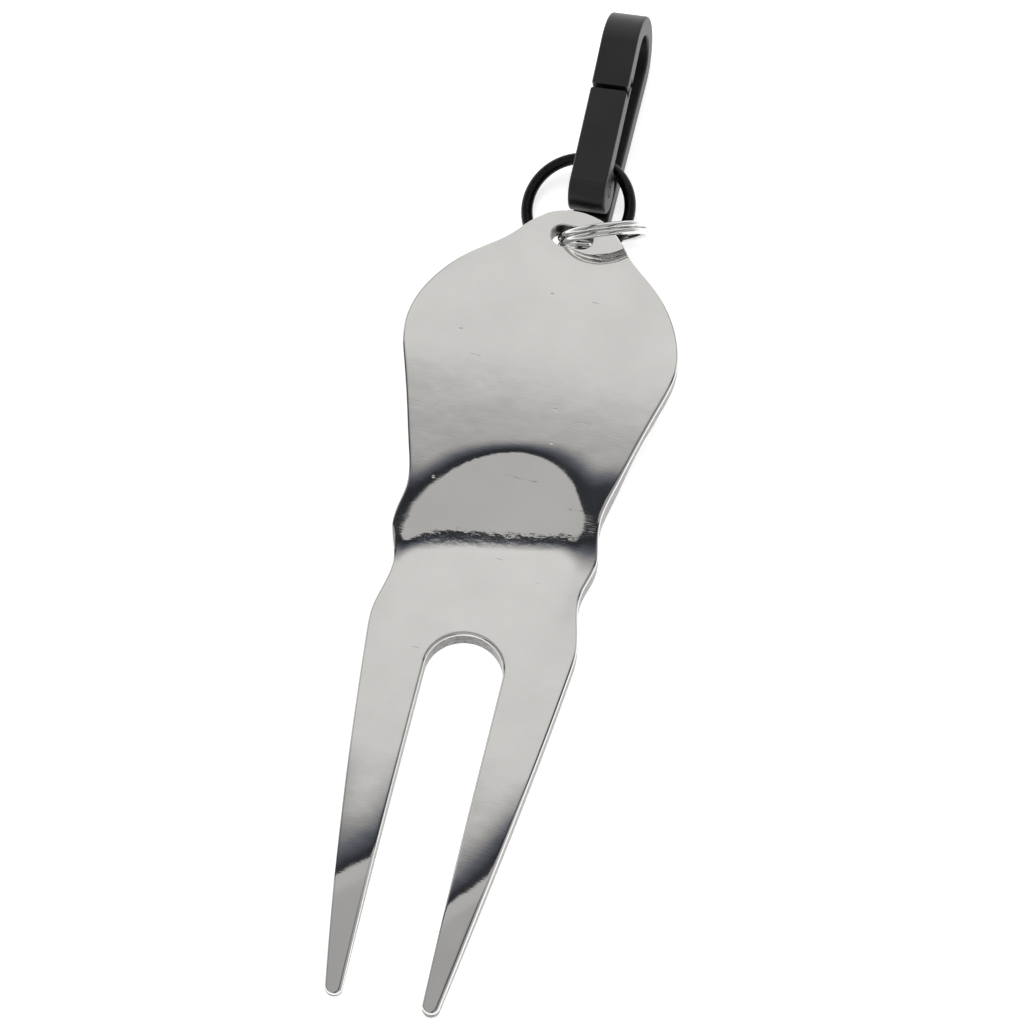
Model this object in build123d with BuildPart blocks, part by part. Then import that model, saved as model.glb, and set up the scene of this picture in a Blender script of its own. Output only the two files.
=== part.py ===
from build123d import *

import os
from math import cos, radians, sin, tan

# Divot repair tool with a magnetic ball marker, a split ring and a spring-gate snap clip.
#
# Frame: the tool lies on its front, back side up. +Z is up, +Y runs from the tines to the head and
# on to the clip, and +X is to the right. The origin is the centre of the marker seat's rim, on the
# surface that the tool rests on. Millimetres.

os.makedirs("parts", exist_ok=True)

# ---------------------------------------------------------------- driving dimensions

# fork body, heights above the resting surface
BACK_Z = 5.7  # flat back of the head
TAB_UNDER_Z = 3.4  # front face of the plate around the marker boss
ROOT_Z = 3.6  # back face of the fork's root
ROOT_UNDER_Z = 1.2  # front face of the fork's root
TINE_TIP_Z = 0.95  # back face at the tine tips, whose front face touches the surface

# fork body, stations along Y
HEAD_TIP_Y = 17.0
NECK_TOP_Y = -8.0  # the back starts to dip here
NECK_DIP = 11.0  # degrees, steepest slope of the neck
NECK_CREST = 5.2  # length of the rounded crest above the dip
NECK_FOOT = 3.0  # length of the hollow below the dip
TINE_BEND_Y = -39.0  # the tines start to curve down here
TINE_TIP_Y = -71.5

# tines
SLOT_HALF = 4.0  # half of the gap between the tines
SLOT_TOP_Y = -32.3
TIP_OUTER_X = 5.75

# ring slot at the head's tip
RING_SLOT_Y = 13.8
RING_SLOT_LENGTH = 4.7
RING_SLOT_WIDTH = 2.7

# ball marker, its seat and its magnet
MARKER_RADIUS = 12.0
MARKER_THICKNESS = 1.4
MARKER_RECESS = 0.35  # the marker lies this far inside the rim
SEAT_RADIUS = 12.3
SEAT_DEPTH = 1.9
BOSS_RADIUS = 13.1
INLAY_RADIUS = 10.4
INLAY_DEPTH = 0.3
MAGNET_RADIUS = 4.0
MAGNET_THICKNESS = 1.5

# split ring: two turns of round wire, standing in the slot
SPLIT_WIRE = 0.7
SPLIT_RADIUS = 4.56  # to the middle of the wire
SPLIT_TURNS = 1.85
SPLIT_TURN = 19.1  # degrees from +X to the ring's plane
SPLIT_LEAN = 22.0  # degrees that its top leans towards the tines
SPLIT_SLOT = (-1.21, 13.85)  # where the wire stands in the slot

# link ring
LINK_WIRE = 1.24
LINK_RADIUS = 5.6  # to the middle of the wire
LINK_CENTRE = (-0.52, 19.37)
LINK_SLOPE_X = 0.168
LINK_SLOPE_Y = 0.232

# snap clip: u runs along +Y from its foot, v from its spine to its gate, w across
CLIP_WIDTH = 4.0
CLIP_LENGTH = 24.1
CLIP_X = 1.15
CLIP_Y = 17.8
CLIP_ROLL = 7.0  # degrees, the gate leans to the left
SPINE = 1.9  # thickness of the spine
HOOK_RADIUS = 4.6
LIMB = 2.1  # thickness of the hook, the nose and the gate
NOSE_END_U = 13.5
NOSE_SLOPE = 9.0  # degrees that the nose falls towards its end
GATE_END_U = 13.0
GATE_END_V = 8.2  # outer face of the gate at its tip
LIP_END_U = 14.6
LIP = 0.85  # thickness of the gate's lip, which closes behind the nose
PIN_U = 2.6
PIN_V = 4.6
PIN_RADIUS = 0.6
KNUCKLE_RADIUS = 2.4
PIN_CLEARANCE = 0.05
TONGUE_WIDTH = 1.2
CHANNEL_WIDTH = 2.4
CHANNEL_END_U = 7.5
CHANNEL_RADIUS = 1.45  # of the channel's round end, about the pin
EDGE_ROUND = 0.25
SPRING_WIRE = 0.26
SPRING_RADIUS = 0.85  # to the middle of the wire
SPRING_HEIGHT = 0.66

# ---------------------------------------------------------------- fork body

# half of the plan outline, from the head's tip to the fork's shoulder
HALF_OUTLINE = [
    (0.0, HEAD_TIP_Y),
    (3.6, 15.9),
    (6.5, 12.75),
    (9.6, 9.9),
    (12.65, 5.8),
    (14.0, 0.8),
    (13.1, -3.9),
    (11.9, -8.4),
    (10.6, -13.7),
    (9.95, -17.6),
    (10.55, -21.9),
    (9.75, -25.6),
    (10.1, -28.6),
    (10.68, -31.6),
    (10.54, -34.5),
]
TINE_CORNER_Y = TINE_TIP_Y + 0.6
tine_middle = (8.45, -52.7)

dip = radians(NECK_DIP)
crest_drop = NECK_CREST * (1 - cos(dip)) / sin(dip)
foot_drop = NECK_FOOT * (1 - cos(dip)) / sin(dip)
slope_drop = BACK_Z - ROOT_Z - crest_drop - foot_drop
crest_end = (NECK_TOP_Y - NECK_CREST, BACK_Z - crest_drop)
slope_end = (crest_end[0] - slope_drop * cos(dip) / sin(dip), crest_end[1] - slope_drop)
neck_end = (slope_end[0] - NECK_FOOT, ROOT_Z)

with BuildPart() as fork_body:
    # side profile: flat head, dipping neck, level root and tines that curve down
    with BuildSketch(Plane.YZ):
        with BuildLine():
            Line((HEAD_TIP_Y, BACK_Z), (NECK_TOP_Y, BACK_Z))
            TangentArc((NECK_TOP_Y, BACK_Z), crest_end, tangent=(-1, 0))
            Line(crest_end, slope_end)
            TangentArc(slope_end, neck_end, tangent=(-cos(dip), -sin(dip)))
            Line(neck_end, (TINE_BEND_Y, ROOT_Z))
            TangentArc((TINE_BEND_Y, ROOT_Z), (TINE_TIP_Y, TINE_TIP_Z), tangent=(-1, 0))
            Line((TINE_TIP_Y, TINE_TIP_Z), (TINE_TIP_Y, 0))
            TangentArc((TINE_BEND_Y, ROOT_UNDER_Z), (TINE_TIP_Y, 0), tangent=(-1, 0))
            Line((TINE_BEND_Y, ROOT_UNDER_Z), (-16.5, ROOT_UNDER_Z))
            Spline(
                (-16.5, ROOT_UNDER_Z),
                (-8.0, TAB_UNDER_Z),
                tangents=[(1, 0), (1, 0)],
            )
            Line((-8.0, TAB_UNDER_Z), (HEAD_TIP_Y, TAB_UNDER_Z))
            Line((HEAD_TIP_Y, TAB_UNDER_Z), (HEAD_TIP_Y, BACK_Z))
        make_face()
    extrude(amount=16, both=True)

    # plan outline with the gap between the tines
    with BuildSketch(Plane.XY):
        with BuildLine():
            Spline(*HALF_OUTLINE, tangents=[(1, 0), (-0.1, -1)])
            ThreePointArc(HALF_OUTLINE[-1], tine_middle, (TIP_OUTER_X, TINE_CORNER_Y))
            ThreePointArc(
                (TIP_OUTER_X, TINE_CORNER_Y),
                ((TIP_OUTER_X + SLOT_HALF) / 2, TINE_TIP_Y),
                (SLOT_HALF, TINE_CORNER_Y),
            )
            Line((SLOT_HALF, TINE_CORNER_Y), (SLOT_HALF, SLOT_TOP_Y - SLOT_HALF))
            TangentArc((SLOT_HALF, SLOT_TOP_Y - SLOT_HALF), (0, SLOT_TOP_Y), tangent=(0, 1))
            Line((0, SLOT_TOP_Y), (0, HEAD_TIP_Y))
        make_face()
        mirror(about=Plane.YZ)
    extrude(amount=BACK_Z + 1, mode=Mode.INTERSECT)

    # round boss on the front, with the marker's seat and the magnet's pocket in it
    with BuildSketch(Plane.XY):
        Circle(BOSS_RADIUS)
    extrude(amount=TAB_UNDER_Z + 0.2)
    fillet(fork_body.edges().filter_by(GeomType.CIRCLE).group_by(Axis.Z)[0], radius=0.35)
    with BuildSketch(Plane.XY):
        Circle(SEAT_RADIUS)
    extrude(amount=SEAT_DEPTH, mode=Mode.SUBTRACT)
    with BuildSketch(Plane.XY):
        Circle(MAGNET_RADIUS)
    extrude(amount=SEAT_DEPTH + MAGNET_THICKNESS, mode=Mode.SUBTRACT)

    # thumb notch in the boss, where a nail lifts the marker
    with BuildSketch(Plane.XZ.offset(SEAT_RADIUS - 0.6)):
        SlotOverall(9.0, 2 * SEAT_DEPTH - 0.4)
    extrude(amount=4.5, mode=Mode.SUBTRACT)

    # oval slot for the split ring
    with BuildSketch(Plane.XY):
        with Locations((0, RING_SLOT_Y)):
            SlotOverall(RING_SLOT_LENGTH, RING_SLOT_WIDTH)
    extrude(amount=BACK_Z + 1, mode=Mode.SUBTRACT)

fork_body.part.label = "fork_body"
export_step(fork_body.part, "parts/fork_body.step")

# ---------------------------------------------------------------- marker and magnet

with BuildPart() as marker_magnet:
    with BuildSketch(Plane.XY.offset(SEAT_DEPTH)):
        Circle(MAGNET_RADIUS)
    extrude(amount=MAGNET_THICKNESS)

marker_magnet.part.label = "marker_magnet"
export_step(marker_magnet.part, "parts/marker_magnet.step")

with BuildPart() as ball_marker:
    with BuildSketch(Plane.XY.offset(MARKER_RECESS)):
        Circle(MARKER_RADIUS)
    extrude(amount=MARKER_THICKNESS)
    fillet(ball_marker.edges(), radius=0.3)
    with BuildSketch(Plane.XY.offset(MARKER_RECESS)):
        Circle(INLAY_RADIUS)
    extrude(amount=INLAY_DEPTH, mode=Mode.SUBTRACT)

ball_marker.part.label = "ball_marker"
export_step(ball_marker.part, "parts/ball_marker.step")

with BuildPart() as marker_inlay:
    with BuildSketch(Plane.XY.offset(MARKER_RECESS)):
        Circle(INLAY_RADIUS)
    extrude(amount=INLAY_DEPTH)

marker_inlay.part.label = "marker_inlay"
export_step(marker_inlay.part, "parts/marker_inlay.step")

# ---------------------------------------------------------------- rings

turn = radians(SPLIT_TURN)
lean = radians(SPLIT_LEAN)
split_out = Vector(cos(turn), sin(turn), 0)
split_up = Vector(sin(turn) * sin(lean), -cos(turn) * sin(lean), cos(lean))
split_axis = split_out.cross(split_up)
turn_pitch = SPLIT_WIRE + 0.02
coil_height = turn_pitch * SPLIT_TURNS
split_base = Vector(SPLIT_SLOT[0], SPLIT_SLOT[1], SPLIT_RADIUS * cos(lean))
# the wire's ends lie low on the far side from the slot
split_plane = Plane(
    origin=split_base + split_out * SPLIT_RADIUS - split_axis * (coil_height / 2),
    x_dir=split_out * 0.6 - split_up * 0.8,
    z_dir=split_axis,
)

with BuildPart() as split_coil:
    with BuildLine() as split_path:
        Helix(pitch=turn_pitch, height=coil_height, radius=SPLIT_RADIUS)
    with BuildSketch(Plane(origin=split_path.line @ 0, z_dir=split_path.line % 0)):
        Circle(SPLIT_WIRE / 2)
    sweep(path=split_path.line, is_frenet=True)

# lowered or raised until its lowest wire rests on the surface
split_ring = split_coil.part.moved(split_plane.location)
split_ring = split_ring.moved(Location((0, 0, -split_ring.bounding_box().min.Z)))
split_ring.label = "split_ring"
export_step(split_ring, "parts/split_ring.step")

slope = (LINK_SLOPE_X**2 + LINK_SLOPE_Y**2) ** 0.5
link_height = LINK_WIRE / 2 + LINK_RADIUS * slope / (1 + slope**2) ** 0.5
link_plane = Plane(
    origin=(LINK_CENTRE[0], LINK_CENTRE[1], link_height),
    x_dir=(1, 0, LINK_SLOPE_X),
    z_dir=(-LINK_SLOPE_X, -LINK_SLOPE_Y, 1),
)

with BuildPart(link_plane) as link_ring:
    Torus(LINK_RADIUS, LINK_WIRE / 2)

link_ring.part.label = "link_ring"
export_step(link_ring.part, "parts/link_ring.step")

# ---------------------------------------------------------------- snap clip

roll = radians(CLIP_ROLL)
clip_plane = Plane(
    origin=(CLIP_X, CLIP_Y, CLIP_WIDTH / 2 * sin(roll)),
    x_dir=(0, 1, 0),
    z_dir=(cos(roll), 0, sin(roll)),
)
clip_across = Axis(clip_plane.origin, clip_plane.z_dir)
HOOK_U = CLIP_LENGTH - HOOK_RADIUS  # middle of the hook's bend
INNER_RADIUS = HOOK_RADIUS - (SPINE + LIMB) / 2
INNER_V = SPINE + INNER_RADIUS
LEDGE_END_U = LIP_END_U + 0.45
nose_slope = radians(NOSE_SLOPE)
# the nose's two faces run straight on from the bend
outer_bend_end = (HOOK_U - HOOK_RADIUS * sin(nose_slope), HOOK_RADIUS * (1 + cos(nose_slope)))
inner_bend_end = (HOOK_U - INNER_RADIUS * sin(nose_slope), INNER_V + INNER_RADIUS * cos(nose_slope))
nose_end_v = HOOK_RADIUS * (1 + 1 / cos(nose_slope)) - (HOOK_U - NOSE_END_U) * tan(nose_slope)
nose_inner_v = INNER_V + INNER_RADIUS / cos(nose_slope) - (HOOK_U - LEDGE_END_U) * tan(nose_slope)
ledge_v = nose_end_v - LIMB + LIP + 0.12

with BuildPart() as clip_frame:
    # spine, hook and nose in one bent bar
    with BuildSketch(clip_plane):
        with BuildLine():
            Line((1.2, 0), (HOOK_U, 0))
            ThreePointArc((HOOK_U, 0), (CLIP_LENGTH, HOOK_RADIUS), outer_bend_end)
            # the nose ends in a ledge, which the gate's lip closes against
            Polyline(
                outer_bend_end,
                (NOSE_END_U, nose_end_v),
                (NOSE_END_U, ledge_v),
                (LEDGE_END_U, ledge_v + 0.15),
                (LEDGE_END_U, nose_inner_v),
                inner_bend_end,
            )
            ThreePointArc(
                inner_bend_end,
                (HOOK_U + INNER_RADIUS, INNER_V),
                (HOOK_U, INNER_V - INNER_RADIUS),
            )
            Line((HOOK_U, SPINE), (1.2, SPINE))
            ThreePointArc((1.2, SPINE), (1.2 - SPINE / 2, SPINE / 2), (1.2, 0))
        make_face()
    extrude(amount=CLIP_WIDTH / 2, both=True)
    clip_sides = clip_frame.edges().group_by(clip_across)
    fillet(clip_sides[0] + clip_sides[-1], radius=EDGE_ROUND)
    # tongue that carries the gate's pin
    with BuildSketch(clip_plane.offset(-CHANNEL_WIDTH / 2 + 0.1)):
        with BuildLine():
            Polyline((PIN_U - 1.0, SPINE - 0.4), (PIN_U - 1.0, PIN_V))
            ThreePointArc((PIN_U - 1.0, PIN_V), (PIN_U, PIN_V + 1.0), (PIN_U + 1.0, PIN_V))
            Line((PIN_U + 1.0, PIN_V), (PIN_U + 1.0, SPINE - 0.4))
            Line((PIN_U + 1.0, SPINE - 0.4), (PIN_U - 1.0, SPINE - 0.4))
        make_face()
    extrude(amount=TONGUE_WIDTH)
    with BuildSketch(clip_plane):
        with Locations((PIN_U, PIN_V)):
            Circle(PIN_RADIUS)
    extrude(amount=CLIP_WIDTH, both=True, mode=Mode.SUBTRACT)

clip_frame.part.label = "clip_frame"
export_step(clip_frame.part, "parts/clip_frame.step")

gate_slope = (GATE_END_V - PIN_V - KNUCKLE_RADIUS) / (GATE_END_U - PIN_U)
GATE_INNER_V = GATE_END_V - LIMB
lip_rise = gate_slope * (LIP_END_U - GATE_END_U)
knuckle_end_u = PIN_U + 2.0

with BuildPart() as clip_gate:
    # straight bar with a round knuckle at its foot and a thin lip at its tip
    with BuildSketch(clip_plane):
        with BuildLine():
            Polyline(
                (PIN_U, PIN_V + KNUCKLE_RADIUS),
                (GATE_END_U, GATE_END_V),
                (GATE_END_U, GATE_INNER_V + LIP),
                (LIP_END_U, GATE_INNER_V + LIP + lip_rise),
                (LIP_END_U, GATE_INNER_V + lip_rise),
                (knuckle_end_u, GATE_INNER_V - gate_slope * (GATE_END_U - knuckle_end_u)),
                (PIN_U, PIN_V),
                (PIN_U, PIN_V + KNUCKLE_RADIUS),
            )
        make_face()
        with Locations((PIN_U, PIN_V)):
            Circle(KNUCKLE_RADIUS)
    extrude(amount=CLIP_WIDTH / 2, both=True)
    gate_sides = clip_gate.edges().group_by(clip_across)
    fillet(gate_sides[0] + gate_sides[-1], radius=EDGE_ROUND)
    # channel on the inner side, which the tongue and the spring stand in
    with BuildSketch(clip_plane):
        with BuildLine():
            Line((PIN_U - CHANNEL_RADIUS, -1), (PIN_U - CHANNEL_RADIUS, PIN_V))
            ThreePointArc(
                (PIN_U - CHANNEL_RADIUS, PIN_V),
                (PIN_U - CHANNEL_RADIUS * cos(radians(45)), PIN_V + CHANNEL_RADIUS * sin(radians(45))),
                (PIN_U, PIN_V + CHANNEL_RADIUS),
            )
            Polyline(
                (PIN_U, PIN_V + CHANNEL_RADIUS),
                (CHANNEL_END_U, PIN_V + CHANNEL_RADIUS + gate_slope * (CHANNEL_END_U - PIN_U)),
                (CHANNEL_END_U, -1),
                (PIN_U - CHANNEL_RADIUS, -1),
            )
        make_face()
    extrude(amount=CHANNEL_WIDTH / 2, both=True, mode=Mode.SUBTRACT)
    with BuildSketch(clip_plane):
        with Locations((PIN_U, PIN_V)):
            Circle(PIN_RADIUS + PIN_CLEARANCE)
    extrude(amount=CLIP_WIDTH, both=True, mode=Mode.SUBTRACT)

clip_gate.part.label = "clip_gate"
export_step(clip_gate.part, "parts/clip_gate.step")

with BuildPart() as gate_pin:
    with BuildSketch(clip_plane):
        with Locations((PIN_U, PIN_V)):
            Circle(PIN_RADIUS)
    extrude(amount=CLIP_WIDTH / 2, both=True)
    fillet(gate_pin.edges().filter_by(GeomType.CIRCLE), radius=0.15)

gate_pin.part.label = "gate_pin"
export_step(gate_pin.part, "parts/gate_pin.step")

# torsion spring: coils round the pin, beside the tongue
with BuildPart() as spring_coil:
    with BuildLine() as spring_path:
        Helix(pitch=SPRING_WIRE + 0.02, height=SPRING_HEIGHT, radius=SPRING_RADIUS)
    with BuildSketch(Plane(origin=spring_path.line @ 0, z_dir=spring_path.line % 0)):
        Circle(SPRING_WIRE / 2)
    sweep(path=spring_path.line, is_frenet=True)

spring_location = clip_plane.location * Location((PIN_U, PIN_V, TONGUE_WIDTH / 2 - 0.26))
gate_spring = spring_coil.part.moved(spring_location)
gate_spring.label = "gate_spring"
export_step(gate_spring, "parts/gate_spring.step")
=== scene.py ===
# %% [markdown]
# # A divot repair tool on its key ring and snap clip
# The tool is a zinc casting, polished and plated until it is a mirror. Round its neck hang a bright
# split ring, a black link ring and a black anodised snap clip. A mirror has hardly any colour of its
# own: what the eye reads is the room in it. So most of the work here is in two places, the true
# curves of the casting's back and the soft studio that they reflect.

import math

import bpy
import numpy as np
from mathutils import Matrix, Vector
from mathutils.geometry import delaunay_2d_cdt


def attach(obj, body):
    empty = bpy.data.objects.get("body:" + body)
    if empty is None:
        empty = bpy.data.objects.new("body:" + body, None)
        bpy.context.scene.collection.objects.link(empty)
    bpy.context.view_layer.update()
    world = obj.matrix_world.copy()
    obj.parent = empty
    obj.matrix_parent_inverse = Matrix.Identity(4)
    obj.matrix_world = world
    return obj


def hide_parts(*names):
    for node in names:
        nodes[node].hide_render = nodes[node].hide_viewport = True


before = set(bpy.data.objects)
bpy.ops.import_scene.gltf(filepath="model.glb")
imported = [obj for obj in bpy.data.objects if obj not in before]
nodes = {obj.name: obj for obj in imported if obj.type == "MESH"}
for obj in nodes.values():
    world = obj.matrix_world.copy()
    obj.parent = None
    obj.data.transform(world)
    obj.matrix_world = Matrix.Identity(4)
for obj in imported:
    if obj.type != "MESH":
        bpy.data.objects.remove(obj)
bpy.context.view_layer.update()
MM = 0.001
print("frame:", sorted(nodes))

# %% [markdown]
# ## Colours
# Colours are written as sRGB hex, the way a paint card gives them. The renderer works in linear
# light, so one function turns them.

# %% From sRGB hex to linear light
def linear(hex_colour, alpha=1.0):
    values = [int(hex_colour[i : i + 2], 16) / 255 for i in (0, 2, 4)]
    return tuple(v / 12.92 if v <= 0.04045 else ((v + 0.055) / 1.055) ** 2.4 for v in values) + (alpha,)


print("mid grey:", [round(v, 3) for v in linear("808080")])

# %% [markdown]
# ## A helper for nodes
# Every finish below is a small graph of nodes. One function adds a node, sets its properties and
# its sockets, and links whatever was given as a socket. Short ones on top of it start a material, fill
# a colour ramp, stack several heights into one normal and do a sum.

# %% Add one node with its settings and links
def add_node(tree, kind, inputs=None, **settings):
    node = tree.nodes.new(kind)
    for name, value in settings.items():
        setattr(node, name, value)
    for key, value in (inputs or {}).items():
        if isinstance(value, bpy.types.NodeSocket):
            tree.links.new(value, node.inputs[key])
        else:
            node.inputs[key].default_value = value
    return node


def new_material(name):
    material = bpy.data.materials.new(name)
    material.use_nodes = True
    tree = material.node_tree
    tree.nodes.clear()
    shader = add_node(tree, "ShaderNodeBsdfPrincipled")
    add_node(tree, "ShaderNodeOutputMaterial", {"Surface": shader.outputs["BSDF"]})
    return material, tree, shader


def set_ramp(ramp, stops):
    elements = ramp.color_ramp.elements
    while len(elements) < len(stops):
        elements.new(0.5)
    for element, (place, colour) in zip(elements, stops):
        element.position = place
        element.color = colour


def bump_chain(tree, layers):
    """Several heights, each with a strength and a depth in metres, stacked into one normal."""
    normal = None
    for height, strength, depth in layers:
        inputs = {"Height": height, "Strength": strength, "Distance": depth}
        if normal is not None:
            inputs["Normal"] = normal
        normal = add_node(tree, "ShaderNodeBump", inputs).outputs[0]
    return normal


def math_node(tree, operation, a, b):
    return add_node(tree, "ShaderNodeMath", {0: a, 1: b}, operation=operation).outputs[0]


# %% [markdown]
# ## The plan of the casting
# Seen from above, the tool is one closed outline: a round head, a waist with two small lobes and two
# tapering tines. A smooth curve through a few stations gives the head and the waist, and each tine is
# a circular arc. The mirror shows every facet, so the outline is sampled finely and evenly.

# %% Stations of the right half, in millimetres
OUTLINE = [
    (0.0, 17.0), (3.6, 15.9), (6.5, 12.75), (9.6, 9.9), (12.65, 5.8), (14.0, 0.8), (13.1, -3.9),
    (11.9, -8.4), (10.6, -13.7), (9.95, -17.6), (10.55, -21.9), (9.75, -25.6), (10.1, -28.6),
    (10.68, -31.6), (10.54, -34.5),
]
TINE_MIDDLE = (8.45, -52.7)
TINE_CORNER_Y = -70.9
TINE_TIP_Y = -71.5
TIP_OUTER_X = 5.75
SLOT_HALF = 4.0
SLOT_TOP_Y = -32.3
RING_SLOT = (13.8, 4.5, 2.5)  # its middle along Y, its length and its width


def smooth_curve(points, start, end, steps=24):
    """A twice-smooth cubic through the points, with given directions at its ends."""
    p = np.array(points, float)
    t = np.concatenate([[0], np.cumsum(np.linalg.norm(np.diff(p, axis=0), axis=1))])
    gap = np.diff(t)
    count = len(p)
    matrix = np.zeros((count, count))
    right = np.zeros((count, 2))
    matrix[0, 0] = matrix[-1, -1] = 1
    right[0] = np.array(start) / np.linalg.norm(start)
    right[-1] = np.array(end) / np.linalg.norm(end)
    for i in range(1, count - 1):
        matrix[i, i - 1 : i + 2] = [gap[i], 2 * (gap[i - 1] + gap[i]), gap[i - 1]]
        before = (p[i] - p[i - 1]) / gap[i - 1]
        after = (p[i + 1] - p[i]) / gap[i]
        right[i] = 3 * (gap[i] * before + gap[i - 1] * after)
    slope = np.linalg.solve(matrix, right)
    u = np.linspace(0, 1, steps, endpoint=False)[:, None]
    pieces = []
    for i in range(count - 1):
        a = (2 * u**3 - 3 * u**2 + 1) * p[i] + (u**3 - 2 * u**2 + u) * slope[i] * gap[i]
        b = (3 * u**2 - 2 * u**3) * p[i + 1] + (u**3 - u**2) * slope[i + 1] * gap[i]
        pieces.append(a + b)
    return np.vstack(pieces + [p[-1:]])


def arc_through(a, b, c, steps=60):
    """A circular arc from a to c by way of b."""
    a, b, c = (np.array(v, float) for v in (a, b, c))
    rows = 2 * np.array([b - a, c - a])
    middle = np.linalg.solve(rows, [b @ b - a @ a, c @ c - a @ a])
    angles = np.unwrap([math.atan2(*(v - middle)[::-1]) for v in (a, b, c)])
    turn = np.linspace(angles[0], angles[2], steps)
    radius = np.linalg.norm(a - middle)
    return middle + radius * np.stack([np.cos(turn), np.sin(turn)], axis=1)


def evenly(points, step):
    """The same line with points a fixed step apart."""
    along = np.concatenate([[0], np.cumsum(np.linalg.norm(np.diff(points, axis=0), axis=1))])
    count = max(int(round(along[-1] / step)), 2)
    places = np.linspace(0, along[-1], count + 1)
    return np.stack([np.interp(places, along, points[:, k]) for k in (0, 1)], axis=1)


EDGE_STEP = 0.22
tip_peak = ((TIP_OUTER_X + SLOT_HALF) / 2, TINE_TIP_Y)
slot_turn = np.linspace(0, math.pi / 2, 60)
slot_top = SLOT_HALF * np.stack([np.cos(slot_turn), np.sin(slot_turn)], axis=1)
slot_top[:, 1] += SLOT_TOP_Y - SLOT_HALF
slot_side = np.array([(SLOT_HALF, TINE_CORNER_Y), slot_top[0]])
runs = [
    smooth_curve(OUTLINE, (1, 0), (-0.1, -1)),
    arc_through(OUTLINE[-1], TINE_MIDDLE, (TIP_OUTER_X, TINE_CORNER_Y)),
    arc_through((TIP_OUTER_X, TINE_CORNER_Y), tip_peak, (SLOT_HALF, TINE_CORNER_Y)),
    slot_side,
    slot_top,
]
right_half = np.vstack([evenly(run, EDGE_STEP)[:-1] for run in runs] + [slot_top[-1:]])
left_half = right_half[-2:0:-1] * (-1, 1)
# the left flank of the head stands out a little more than the right one
LEFT_STATIONS = [-30, -25, -20, -14, -8, -2, 4, 9, 14]
LEFT_EXTRA = [0.0, 0.1, 0.42, 0.5, 0.72, 0.95, 0.8, 0.5, 0.0]
outer_side = np.clip((-left_half[:, 0] - 5) / 3, 0, 1)  # 0 along the tine gap, 1 along the flank
left_half[:, 0] -= outer_side * np.interp(left_half[:, 1], LEFT_STATIONS, LEFT_EXTRA)
outline = np.vstack([right_half, left_half])[::-1]  # anticlockwise
slot_y, slot_length, slot_width = RING_SLOT
turn = np.linspace(0, 2 * math.pi, 73)[:-1]
ring_slot = slot_width / 2 * np.stack([np.cos(turn), np.sin(turn)], axis=1)
ring_slot[:, 0] += np.sign(np.cos(turn)) * (slot_length - slot_width) / 2
ring_slot[:, 1] += slot_y
ring_slot = evenly(np.vstack([ring_slot, ring_slot[:1]]), EDGE_STEP)[:-1][::-1]  # clockwise: a hole
print("outline points:", len(outline), "slot points:", len(ring_slot))

# %% [markdown]
# ## The casting's back in height
# The head is almost flat, and the neck steps down to the level root. On the real casting the step is
# finished by hand on a wheel: it is a long gentle slope over its whole width, with a steeper half-round
# facet in its middle and a quick hollow at its foot. Only the steep facet turns the lamp overhead
# towards the eye, which draws the bright half-moon on the neck. It is easier to say how steep the
# metal is than how high it is, so the slope is written down and the height is summed from it.

# %% Slope of the neck, summed into heights
BACK_Z = 5.7
ROOT_Z = 3.6
FACET_X = -0.45  # the half-round facet's middle
FACET_HALF = 8.9
FACET_TALL = 9.9
FACET_SLOPE = 9.9  # degrees
FOOT_Y = -21.9
FOOT_LENGTH = 3.6
SLANT = 0.22  # the wheel ran askew: the step is this much higher to the right, per millimetre
HEAD_SLOPE = 3.4  # degrees, where the head's slow fall meets the facet
# the head takes up that slope in three overlapping steps: a share, where it starts, how long it is
HEAD_STEPS = [(0.25, 15.0, 10.0), (0.50, 7.0, 12.0), (0.25, -1.0, 9.0)]
RIM_SLOPE = 7.7  # the roll into the facet
ROLL_WIDTH = 0.17  # of the facet's size, at its top; twice that at its ends
SIDE_SLOPE = 6.7  # the neck beside the facet
SIDE_X = 6.5  # the facet gives way to the sides from here outwards, over SIDE_WIDTH
SIDE_WIDTH = 4.0
SIDE_TOP_Y = -12.5  # the sides steepen from here downwards, over SIDE_LENGTH
SIDE_LENGTH = 4.0
SIDE_DROP = 1.6  # how much lower the hollow lies at the sides


def ease(t):
    t = np.clip(t, 0, 1)
    return t * t * (3 - 2 * t)


def neck_slope(x, y):
    """How steeply the back falls towards the tines."""
    level = y - SLANT * (x - FACET_X)
    aside = np.abs(x - FACET_X)
    outer = ease((aside - SIDE_X) / SIDE_WIDTH)
    # 0 at the facet's middle, 1 on its outline
    out = np.hypot((x - FACET_X) / FACET_HALF, np.maximum(level - FOOT_Y, 0) / FACET_TALL)
    slope = sum(HEAD_SLOPE * share * ease((start - y) / length) for share, start, length in HEAD_STEPS)
    roll = ROLL_WIDTH * (1 + ease(aside / 8.5))
    # each of these lines blends the slope so far into the next, steeper one
    slope = slope + (SIDE_SLOPE - slope) * outer * ease((SIDE_TOP_Y - level) / SIDE_LENGTH)
    slope = slope + (RIM_SLOPE - slope) * ease((1.0 + roll - out) / roll)
    slope = slope + (FACET_SLOPE - slope) * ease((1.03 - out) / 0.07)
    foot_y = FOOT_Y - SIDE_DROP * outer
    foot = 1 - ease((foot_y - level) / (FOOT_LENGTH * (1 + 0.5 * outer)) + 0.5)
    return np.tan(np.radians(slope)) * foot


table_x = np.linspace(-16, 16, 257)  # every eighth of a millimetre
table_y = np.linspace(18, -36, 1081)  # every twentieth
step_y = table_y[0] - table_y[1]
slope_table = neck_slope(table_x[:, None], table_y[None, :])
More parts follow.
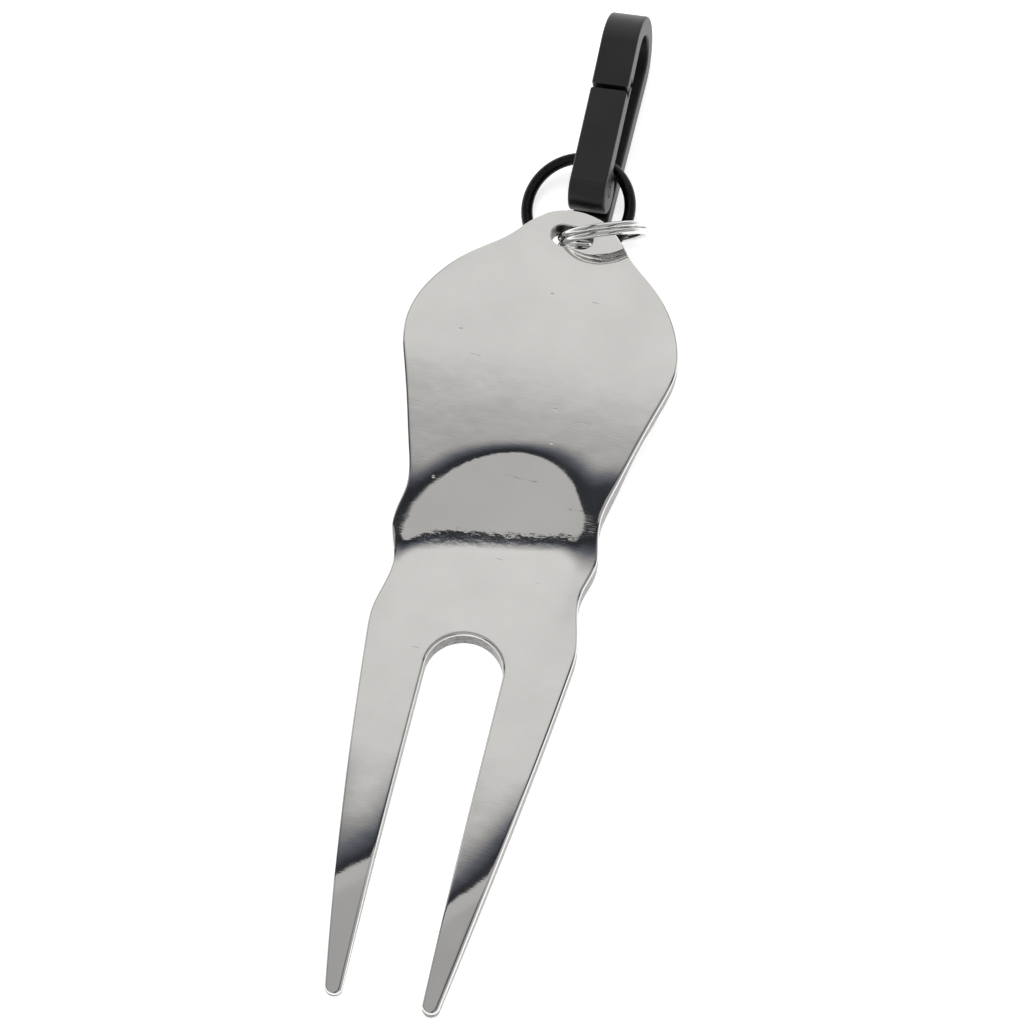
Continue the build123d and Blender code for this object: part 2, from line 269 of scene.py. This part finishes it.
# whatever fall a column still lacks below the foot, it makes up gently before the tines
total = (slope_table[:, 1:] + slope_table[:, :-1]).sum(1) / 2 * step_y
tail = ease((-19.0 - table_y) / 4) * (1 - ease((-24.0 - table_y) / 12))
tail = tail / (tail.sum() * step_y)
slope_table += (BACK_Z - ROOT_Z - total)[:, None] * tail
fall = np.cumsum((slope_table[:, 1:] + slope_table[:, :-1]) / 2 * step_y, axis=1)
height_table = BACK_Z - np.concatenate([np.zeros((len(table_x), 1)), fall], axis=1)
across_table = np.gradient(height_table, table_x, axis=0)
# the wheel's last pass levels the root from side to side, below the hollow: only the shading shows it
root_level = table_y[None, :] - SLANT * (table_x[:, None] - FACET_X)
across_table *= 1 - 0.85 * ease((FOOT_Y + 1.2 - root_level) / 2.0)


def read_table(values, x, y):
    """A table's value at points between its rows and columns."""
    i = (np.clip(x, table_x[0], table_x[-2]) - table_x[0]) / (table_x[1] - table_x[0])
    j = (table_y[0] - np.clip(y, table_y[-2], table_y[0])) / step_y
    a, b = i.astype(int), j.astype(int)
    a, b = np.minimum(a, len(table_x) - 2), np.minimum(b, len(table_y) - 2)
    u, v = i - a, j - b
    near = values[a, b] * (1 - v) + values[a, b + 1] * v
    far = values[a + 1, b] * (1 - v) + values[a + 1, b + 1] * v
    return near * (1 - u) + far * u


middle_fall = float(total[len(total) // 2])
print("fall of the middle column:", round(middle_fall, 2), "mm of", round(BACK_Z - ROOT_Z, 2))

# %% [markdown]
# ## The tines in height
# The tines run on level from the root and bend down only near their tips. A slope at a few stations,
# softened and summed, gives their height. Each tine is also a little crowned from side to side, and its
# bend runs askew, so the dark that it mirrors ends in a slanting line.

# %% Tines and underside
TAB_UNDER_Z = 3.4
ROOT_UNDER_Z = 1.2
TINE_TIP_Z = 0.95
TINE_CROWN = 0.055  # sideways curvature of a tine, per millimetre
TINE_SKEW = 0.9  # how far the bend runs askew, per millimetre across a tine
# how steeply a tine falls, in degrees, at stations along it: nearly straight, then a quick bend
TINE_STATIONS = [-34, -44, -50, -52, -54, -56, -58, -59.5, -61, -63, -67, -71.5]
TINE_SLOPES = [0.0, -0.4, -0.1, 0.3, 1.2, 2.2, 3.4, 5.2, 8.0, 10.0, 11.5, 13.0]

bend_y = np.linspace(-30, -74, 881)
bend_slope = np.tan(np.radians(np.interp(-bend_y, -np.array(TINE_STATIONS), TINE_SLOPES)))
soften = np.ones(15) / 15
bend_slope = np.convolve(np.pad(bend_slope, 7, mode="edge"), soften, mode="valid")
bend_step = bend_y[0] - bend_y[1]
bend_fall = np.concatenate([[0], np.cumsum((bend_slope[1:] + bend_slope[:-1]) / 2 * bend_step)])
tip_fall = np.interp(-TINE_TIP_Y, -bend_y, bend_fall)
print("tines fall by", round(float(tip_fall), 2), "mm")


def along_tine(x, y):
    """The station along a tine, measured square to its skew bend."""
    middle = np.sign(x) * (SLOT_HALF + 1.9)
    return y - TINE_SKEW * (x - middle) * ease((-38 - y) / 14)


def crown(x, y):
    """How much lower a tine's sides are than its middle."""
    middle = np.sign(x) * (SLOT_HALF + 2.75 - 2.0 * ease((-34 - y) / 40))
    return ease((-46 - y) / 12) * TINE_CROWN * (x - middle) ** 2 / 2


def tine_fall(x, y):
    return np.interp(-along_tine(x, y), -bend_y, bend_fall) + crown(x, y)


def back_height(x, y):
    return read_table(height_table, x, y) - tine_fall(x, y)


def back_slopes(x, y):
    """Change of height per millimetre along X and along Y."""
    h = 0.02
    along_x = (tine_fall(x + h, y) - tine_fall(x - h, y)) / (2 * h)
    along_y = (tine_fall(x, y + h) - tine_fall(x, y - h)) / (2 * h)
    return read_table(across_table, x, y) - along_x, read_table(slope_table, x, y) - along_y


def under_height(y):
    rise = ease((y + 16.5) / 8.5)
    z = ROOT_UNDER_Z + (TAB_UNDER_Z - ROOT_UNDER_Z) * rise
    return z - np.interp(-y, -bend_y, bend_fall) * ROOT_UNDER_Z / tip_fall


neck_height = float(back_height(np.array([0.0]), np.array([-15.0]))[0])
print("height of the back on the neck:", round(neck_height, 2), "mm")

# %% [markdown]
# ## Meshing the casting
# A grid would cut the outline into steps. A constrained triangulation keeps it whole: a few rows of
# points follow the edge closely, where the rounding turns fast, and even rows fill the inside.
# The shading normals come from the slopes above, so the mirror is as smooth as they are.

# %% Rows along the edge, filling, and triangles
EDGE_ROWS = [0.03, 0.08, 0.15, 0.22, 0.28, 0.45, 0.8]
DENSE_ROWS = 0.4  # rows nearer to the edge than this keep all its points, the others every second
FILL_STEP = 0.5


def outward(loop):
    """Outward normals of a closed loop that runs anticlockwise round the metal."""
    ahead = np.roll(loop, -1, axis=0) - np.roll(loop, 1, axis=0)
    normal = np.stack([ahead[:, 1], -ahead[:, 0]], axis=1)
    return normal / np.linalg.norm(normal, axis=1)[:, None]


def edge_distance(points, loops):
    """Distance from each point to the nearest edge, and that edge's outward direction."""
    starts = np.vstack(loops)
    ends = np.vstack([np.roll(loop, -1, axis=0) for loop in loops])
    run = ends - starts
    length = np.linalg.norm(run, axis=1)
    normal = np.stack([run[:, 1], -run[:, 0]], axis=1) / length[:, None]
    best = np.full(len(points), 1e9)
    facing = np.zeros((len(points), 2))
    for first in range(0, len(points), 2000):
        p = points[first : first + 2000]
        along = ((p[:, None] - starts) * run).sum(2) / length**2
        nearest = starts + np.clip(along, 0, 1)[..., None] * run
        gap = np.linalg.norm(p[:, None] - nearest, axis=2)
        pick = gap.argmin(1)
        rows = np.arange(len(p))
        best[first : first + 2000] = gap[rows, pick]
        away = nearest[rows, pick] - p
        size = np.linalg.norm(away, axis=1)
        away = np.where(size[:, None] > 1e-4, away / np.maximum(size, 1e-9)[:, None], normal[pick])
        facing[first : first + 2000] = away
    return best, facing


def inside(points, loop):
    """Whether each point is inside a closed loop."""
    x, y = points[:, 0, None], points[:, 1, None]
    a, b = loop, np.roll(loop, -1, axis=0)
    crosses = (a[:, 1] > y) != (b[:, 1] > y)
    rise = np.where(b[:, 1] == a[:, 1], 1e-12, b[:, 1] - a[:, 1])
    at = a[:, 0] + (y - a[:, 1]) * (b[:, 0] - a[:, 0]) / rise
    return ((crosses & (x < at)).sum(1) % 2) == 1


def rows_inside(loop):
    """The loop and its copies set inwards, as one list of points."""
    normal = outward(loop)
    inner = [(loop - normal * place)[:: 1 if place < DENSE_ROWS else 2] for place in EDGE_ROWS]
    return np.vstack([loop] + inner)


loops = [outline, ring_slot]
rows = [rows_inside(loop) for loop in loops]
loop_starts = [0, len(rows[0])]
across = np.arange(-14.5, 14.5, FILL_STEP)
along = np.arange(-72, 17.5, FILL_STEP * 0.87)
grid = np.array([(x + (j % 2) * FILL_STEP / 2, y) for j, y in enumerate(along) for x in across])
grid = grid[inside(grid, outline) & ~inside(grid, ring_slot)]
grid = grid[edge_distance(grid, loops)[0] > EDGE_ROWS[-1] + 0.25]
plan = np.vstack(rows + [grid])
edges = []
for loop, start in zip(loops, loop_starts):
    edges += [(start + i, start + (i + 1) % len(loop)) for i in range(len(loop))]
cut = delaunay_2d_cdt([Vector(p) for p in plan], edges, [], 0, 1e-6, True)
new_place = np.full(len(plan), -1)
for new, origins in enumerate(cut[3]):
    new_place[list(origins)] = new
plan = np.array([tuple(v) for v in cut[0]])
triangles = np.array([t for t in cut[2] if len(t) == 3])
centres = plan[triangles].mean(1)
triangles = triangles[inside(centres, outline) & ~inside(centres, ring_slot)]
first, second = plan[triangles[:, 1]] - plan[triangles[:, 0]], plan[triangles[:, 2]] - plan[triangles[:, 0]]
area = first[:, 0] * second[:, 1] - first[:, 1] * second[:, 0]
triangles[area < 0] = triangles[area < 0][:, ::-1]
print("plan points:", len(plan), "triangles:", len(triangles))

# %% [markdown]
# ## Back, underside and walls
# The same triangles serve the back and, turned over, the underside. Close to the edge both roll off in
# a quarter circle, and a strip of faces joins them as the side wall.

# %% Back, underside and walls in one mesh, with shading normals from the slopes
def unit(vectors):
    return vectors / np.linalg.norm(vectors, axis=1)[:, None]


def rounded(distance, facing, normal, radius):
    """How far a rounded edge has fallen at a distance from it, and its normal there."""
    t = np.clip(1 - distance / radius, 0, 1)
    fall = radius * (1 - np.sqrt(1 - t * t))
    level = np.sqrt(1 - t * t)[:, None]
    side = np.concatenate([facing, np.zeros((len(facing), 1))], axis=1)
    return fall, unit(level * normal + t[:, None] * side)


EDGE_ROUND = 0.3  # radius of the back's edge
UNDER_ROUND = 0.2
SLOT_ROUND = 0.12
distance, facing = edge_distance(plan, loops)
x, y = plan.T
h = 0.02
slope_x, slope_y = back_slopes(x, y)
back_normal = unit(np.stack([-slope_x, -slope_y, np.ones(len(x))], axis=1))
under_slope = (under_height(y + h) - under_height(y - h)) / (2 * h)
under_normal = unit(np.stack([np.zeros(len(x)), under_slope, -np.ones(len(x))], axis=1))
near_slot = np.hypot(x, y - slot_y) < 4.0  # the points that are closer to the slot than to the outline
fall, back_normal = rounded(distance, facing, back_normal, np.where(near_slot, SLOT_ROUND, EDGE_ROUND))
back = np.column_stack([x, y, back_height(x, y) - fall])
fall, under_normal = rounded(distance, facing, under_normal, UNDER_ROUND)
under = np.column_stack([x, y, under_height(y) + fall])

count = len(plan)
vertices = [back, under]
normals = [back_normal, under_normal]
faces = [tuple(t) for t in triangles] + [tuple(t[::-1] + count) for t in triangles]
first_wall = len(faces)
for loop, start in zip(loops, loop_starts):
    where = new_place[start : start + len(loop)]
    for a, b in zip(where, np.roll(where, -1)):
        faces.append((a, a + count, b + count, b))
first_boss = len(faces)
print("casting's plate:", 2 * count, "points,", len(faces), "faces")

# %% [markdown]
# ## The boss on the front
# The marker sits in a turned seat, so its boss is a shape turned round one axis: rim, seat and the
# pocket of the magnet. A thumb notch interrupts the rim. It is made by lifting the rim's low points
# to the notch's outline, which needs no cutting and leaves the mesh clean.

# %% Turn the boss's section and lift the rim at the notch
BOSS_RADIUS = 13.1
SEAT_RADIUS = 12.3
SEAT_DEPTH = 1.9
MAGNET_RADIUS = 4.0
MAGNET_THICKNESS = 1.5
RIM_ROUND = 0.35
NOTCH_HALF = 4.5
NOTCH_HEIGHT = 1.7
BOSS_STEPS = 240

corner = np.linspace(0, math.pi / 2, 7)
rim = [
    (BOSS_RADIUS - RIM_ROUND + RIM_ROUND * math.cos(t), RIM_ROUND - RIM_ROUND * math.sin(t)) for t in corner
]
wall_heights = [3.6, 2.6, 1.8, 1.7, 1.5, 1.2, 0.9, 0.6]
section = [(BOSS_RADIUS, z) for z in wall_heights] + rim
section += [(SEAT_RADIUS + 0.06, 0), (SEAT_RADIUS, 0.06)]
section += [(SEAT_RADIUS, z) for z in (0.3, 0.6, 0.9, 1.2, 1.5, 1.7, SEAT_DEPTH)]
section += [(MAGNET_RADIUS, SEAT_DEPTH), (MAGNET_RADIUS, SEAT_DEPTH + MAGNET_THICKNESS), (0.0, 3.4)]


def notch_height(across):
    """Height of the thumb notch at a distance to one side of its middle."""
    straight = NOTCH_HALF - NOTCH_HEIGHT
    beyond = np.clip(np.abs(across) - straight, 0, NOTCH_HEIGHT)
    return np.sqrt(NOTCH_HEIGHT**2 - beyond**2) * (np.abs(across) < NOTCH_HALF)


turn = np.linspace(0, 2 * math.pi, BOSS_STEPS, endpoint=False)
base = 2 * count
boss = []
for radius, z in section[:-1]:
    px, py = radius * np.cos(turn), radius * np.sin(turn)
    lifted = np.where(py < 0, np.maximum(z, notch_height(px) * (radius > 10)), z)
    boss.append(np.column_stack([px, py, lifted]))
boss.append(np.array([[0, 0, section[-1][1]]]))
vertices.append(np.vstack(boss))
for i in range(len(section) - 2):
    for j in range(BOSS_STEPS):
        k = (j + 1) % BOSS_STEPS
        a, b = base + i * BOSS_STEPS, base + (i + 1) * BOSS_STEPS
        faces.append((a + j, b + j, b + k, a + k))
last = base + (len(section) - 2) * BOSS_STEPS
hub = base + len(np.vstack(boss)) - 1
for j in range(BOSS_STEPS):
    faces.append((last + j, hub, last + (j + 1) % BOSS_STEPS))
# a lid inside the plate closes the boss
lid = hub + 1
vertices.append(np.array([[0, 0, 3.7]]))
for j in range(BOSS_STEPS):
    faces.append((base + (j + 1) % BOSS_STEPS, lid, base + j))

points = np.vstack(vertices) * MM
mesh = bpy.data.meshes.new("fork_casting")
mesh.from_pydata([tuple(p) for p in points], [], [tuple(int(v) for v in f) for f in faces])
mesh.validate()
mesh.update()
for polygon in mesh.polygons:
    polygon.use_smooth = True
    polygon.material_index = int(first_wall <= polygon.index < first_boss)
fork = bpy.data.objects.new("fork_casting", mesh)
bpy.context.scene.collection.objects.link(fork)
print("fork_casting:", len(mesh.vertices), "points,", len(mesh.polygons), "faces")

# %% [markdown]
# ## Shading normals
# The plate takes the normals worked out above. The boss keeps its own smooth ones, except at a corner:
# where a smooth normal leans far from its face, the face's own direction is used and the corner stays
# crisp.

# %% Give the plate its exact normals, and the boss soft turned ones with crisp corners
given = np.vstack(normals)
split = np.array([tuple(n.vector) for n in mesh.corner_normals])
for polygon in mesh.polygons:
    for corner_index in polygon.loop_indices:
        point = mesh.loops[corner_index].vertex_index
        if point < base:
            split[corner_index] = given[point]
        elif abs(split[corner_index] @ np.array(polygon.normal)) < math.cos(math.radians(35)):
            split[corner_index] = polygon.normal
mesh.normals_split_custom_set([tuple(n) for n in split])
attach(fork, "tool")
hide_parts("fork_body")

# %% [markdown]
# ## Mirror-plated zinc
# Zinc is cast, polished on a felt wheel, and plated with copper, nickel and a thin bright top layer.
# To the eye it is a neutral grey mirror. Four things keep it from looking computed: a very slight
# waviness that the wheel leaves, hair-fine polishing lines, a grainy crawl in the hollow where the
# wheel could not reach, and a few pits and pocket scratches.

# %% Mirror-plated zinc
def plated_zinc():
    material, tree, shader = new_material("mirror_plated_zinc")
    shader.inputs["Metallic"].default_value = 1.0
    where = add_node(tree, "ShaderNodeTexCoord").outputs["Object"]
    # a faint cloud of handling marks, 6 mm across: it changes the tone by one part in forty
    cloud = add_node(tree, "ShaderNodeTexNoise", {"Vector": where, "Scale": 160.0, "Detail": 4.0})
    tone = add_node(tree, "ShaderNodeValToRGB", {"Fac": cloud.outputs[0]})
    set_ramp(tone, [(0.3, linear("E1E0DE")), (0.7, linear("E9E8E6"))])
    tree.links.new(tone.outputs["Color"], shader.inputs["Base Color"])
    haze = {"Value": cloud.outputs[0], 1: 0.3, 2: 0.7, 3: 0.035, 4: 0.07}
    rough = add_node(tree, "ShaderNodeMapRange", haze)
    tree.links.new(rough.outputs[0], shader.inputs["Roughness"])
    # polishing lines, 0.15 mm apart across the tool and drawn out along it
    stretch = add_node(tree, "ShaderNodeMapping", {"Vector": where, "Scale": (900, 6500, 900)})
    lines = add_node(tree, "ShaderNodeTexNoise", {"Vector": stretch.outputs[0], "Scale": 1.0, "Detail": 3.0})
    # waviness of the wheel, about 5 mm long
    waves = add_node(tree, "ShaderNodeTexNoise", {"Vector": where, "Scale": 230.0, "Detail": 2.0})
    # the crawl follows the facet's slanting lower edge: 0.5 mm grains
    place = add_node(tree, "ShaderNodeSeparateXYZ", {"Vector": where})
    lean = math_node(tree, "MULTIPLY", place.outputs["X"], -SLANT)
    level = math_node(tree, "ADD", place.outputs["Y"], lean)
    off = math_node(tree, "ABSOLUTE", math_node(tree, "ADD", level, -(FOOT_Y + 0.75) * MM), 0.0)
    mask = add_node(tree, "ShaderNodeMapRange", {"Value": off, 1: 0.0002, 2: 0.0013, 3: 1.0, 4: 0.0})
    grains = add_node(tree, "ShaderNodeTexNoise", {"Vector": where, "Scale": 1500.0, "Detail": 3.0})
    aside = math_node(tree, "ABSOLUTE", math_node(tree, "ADD", place.outputs["X"], -FACET_X * MM), 0.0)
    width = add_node(tree, "ShaderNodeMapRange", {"Value": aside, 1: 0.0070, 2: 0.0086, 3: 1.0, 4: 0.0})
    masked = math_node(tree, "MULTIPLY", mask.outputs[0], width.outputs[0])
    crawl = math_node(tree, "MULTIPLY", grains.outputs[0], masked)
    # pits: a few cells of a 4 mm pattern have a 0.12 mm dent at their middle
    cells = add_node(tree, "ShaderNodeTexVoronoi", {"Vector": where, "Scale": 260.0})
    far = cells.outputs["Distance"]
    dent = add_node(tree, "ShaderNodeMapRange", {"Value": far, 1: 0.02, 2: 0.045, 3: 0.0, 4: 1.0})
    chance = add_node(tree, "ShaderNodeSeparateXYZ", {"Vector": cells.outputs["Color"]}).outputs["X"]
    rare = math_node(tree, "LESS_THAN", chance, 0.6)
    pits = math_node(tree, "MAXIMUM", dent.outputs[0], rare)
    # scratches: thin crossings of a long slanting noise
    slant = add_node(
        tree, "ShaderNodeMapping",
        {"Vector": where, "Rotation": (0, 0, math.radians(38)), "Scale": (330, 2600, 330)},
    )
    hairs = add_node(tree, "ShaderNodeTexNoise", {"Vector": slant.outputs[0], "Scale": 1.0, "Detail": 0.0})
    peaks = {"Value": hairs.outputs[0], 1: 0.85, 2: 0.88, 3: 1.0, 4: 0.0}
    scratch = add_node(tree, "ShaderNodeMapRange", peaks)
    layers = [
        (lines.outputs[0], 0.012, 0.0001),
        (waves.outputs[0], 0.045, 0.0004),
        (crawl, 0.07, 0.0003),
        (pits, 0.5, 0.00004),
        (scratch.outputs[0], 0.2, 0.00003),
    ]
    tree.links.new(bump_chain(tree, layers), shader.inputs["Normal"])
    return material


zinc = plated_zinc()
fork.data.materials.append(zinc)
print("material:", zinc.name)

# %% [markdown]
# ## The casting's edge
# The side walls are only tumbled before plating, never polished, so they stay duller than the faces.
# Their grey is also kept dark as painted shade. The eye reads it as a grey line round the bright plate,
# and as the dark of the slot.

# %% Tumbled and plated edge, darkened with painted shade
def tumbled_edge_painted_shade():
    material, tree, shader = new_material("tumbled_zinc_edge_painted_shade")
    shader.inputs["Metallic"].default_value = 1.0
    where = add_node(tree, "ShaderNodeTexCoord").outputs["Object"]
    grain = add_node(tree, "ShaderNodeTexNoise", {"Vector": where, "Scale": 2200.0, "Detail": 3.0})
    tone = add_node(tree, "ShaderNodeValToRGB", {"Fac": grain.outputs[0]})
    # painted shade: the walls' grey is darkened to stand for the shade along the edge and in the slot
    set_ramp(tone, [(0.35, linear("6C6B6A")), (0.65, linear("8E8D8C"))])
    tree.links.new(tone.outputs["Color"], shader.inputs["Base Color"])
    shader.inputs["Roughness"].default_value = 0.28
    layers = [(grain.outputs[0], 0.15, 0.00008)]
    tree.links.new(bump_chain(tree, layers), shader.inputs["Normal"])
    return material


# the side walls take the tumbled edge with its painted shade
fork.data.materials.append(tumbled_edge_painted_shade())

# %% [markdown]
# ## Black anodised aluminium
# The clip is cut from aluminium bar, deburred, blasted fine and anodised black. The oxide is a thin
# hard film: it is matt black with a soft wide sheen.

# %% Black anodised aluminium
def finish_with(name, material):
    """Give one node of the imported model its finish."""
    data = nodes[name].data
    data.materials.clear()
    data.materials.append(material)


def anodised_black():
    material, tree, shader = new_material("black_anodised_aluminium")
    where = add_node(tree, "ShaderNodeTexCoord").outputs["Object"]
    # blasted grain of 0.1 mm, drawn at 0.15 mm so that it shows
    grain = add_node(tree, "ShaderNodeTexNoise", {"Vector": where, "Scale": 6500.0, "Detail": 2.0})
    cloud = add_node(tree, "ShaderNodeTexNoise", {"Vector": where, "Scale": 260.0, "Detail": 2.0})
    tone = add_node(tree, "ShaderNodeValToRGB", {"Fac": cloud.outputs[0]})
    set_ramp(tone, [(0.3, linear("0E0E0F")), (0.7, linear("161617"))])
    tree.links.new(tone.outputs["Color"], shader.inputs["Base Color"])
    rough = add_node(tree, "ShaderNodeMapRange", {"Value": grain.outputs[0], 3: 0.34, 4: 0.46})
    tree.links.new(rough.outputs[0], shader.inputs["Roughness"])
    shader.inputs["IOR"].default_value = 1.6
    tree.links.new(bump_chain(tree, [(grain.outputs[0], 0.12, 0.00004)]), shader.inputs["Normal"])
    return material


black = anodised_black()
for name in ("clip_frame", "clip_gate"):
    finish_with(name, black)

# %% [markdown]
# ## Small steel pieces
# Each is steel under another skin: the link ring has a satin black plating, the split ring a bright
# nickel one, the gate's pin is blackened in hot oil, its spring is bare music wire, the marker is
# nickel-plated sheet and the magnet is nickel-plated too. One recipe draws them all: a metal whose
# tone and gloss follow a fine grain that may be drawn out in one direction.

# %% Plated and drawn steels
def metal(name, dark, light, roughness, grain_scale, depth=0.00005):
    """A metal with a grain; grain_scale gives grains per metre along X, Y and Z."""
    material, tree, shader = new_material(name)
    shader.inputs["Metallic"].default_value = 1.0
    where = add_node(tree, "ShaderNodeTexCoord").outputs["Object"]
    stretch = add_node(tree, "ShaderNodeMapping", {"Vector": where, "Scale": grain_scale})
    grain = add_node(tree, "ShaderNodeTexNoise", {"Vector": stretch.outputs[0], "Scale": 1.0, "Detail": 3.0})
    tone = add_node(tree, "ShaderNodeValToRGB", {"Fac": grain.outputs[0]})
    set_ramp(tone, [(0.3, linear(dark)), (0.7, linear(light))])
    tree.links.new(tone.outputs["Color"], shader.inputs["Base Color"])
    spread = {"Value": grain.outputs[0], 3: roughness * 0.8, 4: roughness * 1.2}
    gloss = add_node(tree, "ShaderNodeMapRange", spread)
    tree.links.new(gloss.outputs[0], shader.inputs["Roughness"])
    tree.links.new(bump_chain(tree, [(grain.outputs[0], 0.08, depth)]), shader.inputs["Normal"])
    return material


# bright nickel: the ring mirrors the whole room along its thin wire
finish_with("split_ring", metal("bright_nickel_plated_steel", "DEDEDC", "EFEFEE", 0.06, (1200, 1200, 1200)))
# satin black: dark, but with a grey line of light along the wire
finish_with("link_ring", metal("satin_black_plated_steel", "2A2A2B", "3A3A3B", 0.34, (4000, 4000, 4000)))
finish_with("gate_pin", metal("oil_blackened_steel", "262423", "363433", 0.4, (5000, 5000, 900)))
finish_with("gate_spring", metal("bare_music_wire", "A9A8A6", "C4C3C1", 0.2, (3000, 3000, 3000)))
# brushed sheet: lines 0.15 mm apart run along the tool
finish_with("ball_marker", metal("brushed_nickel_plated_sheet", "BDBBB7", "DAD8D4", 0.18, (6500, 500, 900)))
finish_with("marker_magnet", metal("nickel_plated_magnet", "B8B5AF", "D2CFC9", 0.16, (2500, 2500, 2500)))

# %% [markdown]
# ## Baked enamel
# The marker's middle is filled with soft enamel and baked. It lies as a smooth pool of colour with a
# slight orange peel, and its clear top gives a sharper highlight than the colour under it.

# %% Green enamel
def baked_enamel():
    material, tree, shader = new_material("green_baked_enamel")
    where = add_node(tree, "ShaderNodeTexCoord").outputs["Object"]
    pool = add_node(tree, "ShaderNodeTexNoise", {"Vector": where, "Scale": 420.0, "Detail": 3.0})
    tone = add_node(tree, "ShaderNodeValToRGB", {"Fac": pool.outputs[0]})
    set_ramp(tone, [(0.3, linear("0B4A2A")), (0.7, linear("105A34"))])
    tree.links.new(tone.outputs["Color"], shader.inputs["Base Color"])
    shader.inputs["Roughness"].default_value = 0.3
    shader.inputs["Coat Weight"].default_value = 0.6
    shader.inputs["Coat Roughness"].default_value = 0.06
    peel = add_node(tree, "ShaderNodeTexNoise", {"Vector": where, "Scale": 1100.0, "Detail": 1.0})
    tree.links.new(bump_chain(tree, [(peel.outputs[0], 0.1, 0.0001)]), shader.inputs["Normal"])
    return material


finish_with("marker_inlay", baked_enamel())
print("finishes:", sorted(m.name for m in bpy.data.materials))

# %% [markdown]
# ## The studio
# The mirror needs a room. It is painted as a function of direction alone: a broad pale wall that the
# level faces reflect, a dark gap above it, and a lamp overhead with a hard edge. Each slope of the
# casting picks its own part of the room. Dark panels at both sides give the rounded edges their thin
# dark line.

# %% The room as light from each direction
world = bpy.data.worlds.new("studio")
bpy.context.scene.world = world
world.use_nodes = True
sky = world.node_tree
sky.nodes.clear()
SILVER = 0.80  # the share of light that the plating sends back


def glow(value, tint=(1.0, 0.992, 0.982)):
    return (*(value / SILVER * t for t in tint), 1.0)


direction = add_node(sky, "ShaderNodeTexCoord").outputs["Generated"]
heading = add_node(sky, "ShaderNodeSeparateXYZ", {"Vector": direction})
EDGE_TILT = 0.10  # the lamp stands a little askew to the tool
tilt = math_node(sky, "MULTIPLY", heading.outputs["X"], -EDGE_TILT)
reach = math_node(sky, "ADD", heading.outputs["Y"], tilt)
reach = math_node(sky, "ADD", reach, 0.02)
ahead = add_node(sky, "ShaderNodeValToRGB", {"Fac": reach})
COOL = (0.86, 0.92, 1.10)  # the dark gap is bluish
set_ramp(
    ahead,
    [
        (0.0, glow(0.34)), (0.05, glow(0.35)), (0.09, glow(0.41)), (0.198, glow(0.42)),
        (0.203, glow(0.020, COOL)), (0.245, glow(0.03, COOL)), (0.295, glow(0.12, COOL)),
        (0.335, glow(0.27)), (0.36, glow(0.37)), (0.385, glow(0.47)), (0.40, glow(0.54)),
        (0.415, glow(0.585)), (0.44, glow(0.61)), (0.47, glow(0.625)), (0.53, glow(0.61)),
        (0.80, glow(0.66)), (1.0, glow(0.75)),
    ],
)
# a dark panel stands at either side, and white floor shows under it
aside = math_node(sky, "ABSOLUTE", math_node(sky, "ADD", heading.outputs["X"], 0.03), 0.0)
near_side = add_node(sky, "ShaderNodeMapRange", {"Value": aside, 1: 0.38, 2: 0.48})
far_side = add_node(sky, "ShaderNodeMapRange", {"Value": aside, 1: 0.52, 2: 0.66, 3: 1.0, 4: 0.0})
panel = math_node(sky, "MULTIPLY", near_side.outputs[0], far_side.outputs[0])
room = add_node(
    sky, "ShaderNodeMix",
    {0: panel, 6: ahead.outputs["Color"], 7: glow(0.05, COOL)}, data_type="RGBA",
)
horizon = add_node(sky, "ShaderNodeMapRange", {"Value": heading.outputs["Z"], 1: 0.10, 2: 0.22})
mix = add_node(
    sky, "ShaderNodeMix",
    {0: horizon.outputs[0], 6: glow(0.75), 7: room.outputs[2]}, data_type="RGBA",
)
light = add_node(sky, "ShaderNodeBackground", {"Color": mix.outputs[2], "Strength": 1.0})
add_node(sky, "ShaderNodeOutputWorld", {"Surface": light.outputs[0]})

# %% [markdown]
# ## Floor, lamp and camera
# The floor is a plain white sheet. One large soft lamp lifts it to white and leaves only a faint
# shadow. The camera stands a little to the right of the tines and looks down at the tool's back.

# %% Floor
def white_sheet():
    material, tree, shader = new_material("white_sheet")
    shader.inputs["Base Color"].default_value = linear("E8E8E8")
    shader.inputs["Roughness"].default_value = 0.9
    shader.inputs["Emission Color"].default_value = (1.0, 1.0, 1.0, 1.0)
    shader.inputs["Emission Strength"].default_value = 0.62
    return material


bpy.ops.mesh.primitive_plane_add(size=4.0, location=(0, 0, -0.00002))
floor = bpy.context.object
floor.name = "floor"
floor.data.materials.append(white_sheet())

# %% Lamp
lamp_data = bpy.data.lights.new("soft_lamp", "AREA")
lamp_data.shape = "DISK"
lamp_data.size = 0.5
lamp_data.energy = 1.6
lamp = bpy.data.objects.new("soft_lamp", lamp_data)
lamp.location = (-0.1, 0.1, 0.6)  # nearly overhead
lamp.rotation_euler = (Vector((0, -0.01, 0)) - lamp.location).to_track_quat("-Z", "Y").to_euler()
lamp.visible_glossy = False
bpy.context.scene.collection.objects.link(lamp)

# %% Camera
AZIMUTH = math.radians(12.97)
ELEVATION = math.radians(64.0)
DISTANCE = 0.4279
aim = Vector((0.66, -17.2, 2.04)) * MM
level = math.cos(ELEVATION)
away = Vector((math.sin(AZIMUTH) * level, -math.cos(AZIMUTH) * level, math.sin(ELEVATION)))
camera_data = bpy.data.cameras.new("camera")
camera_data.sensor_width = 36.0
camera_data.angle = math.radians(14.0)
camera_data.clip_start = 0.01
camera = bpy.data.objects.new("camera", camera_data)
camera.location = aim + away * DISTANCE
camera.rotation_euler = (-away).to_track_quat("-Z", "Y").to_euler()
bpy.context.scene.collection.objects.link(camera)
bpy.context.scene.camera = camera
bpy.context.scene.view_settings.view_transform = "Standard"
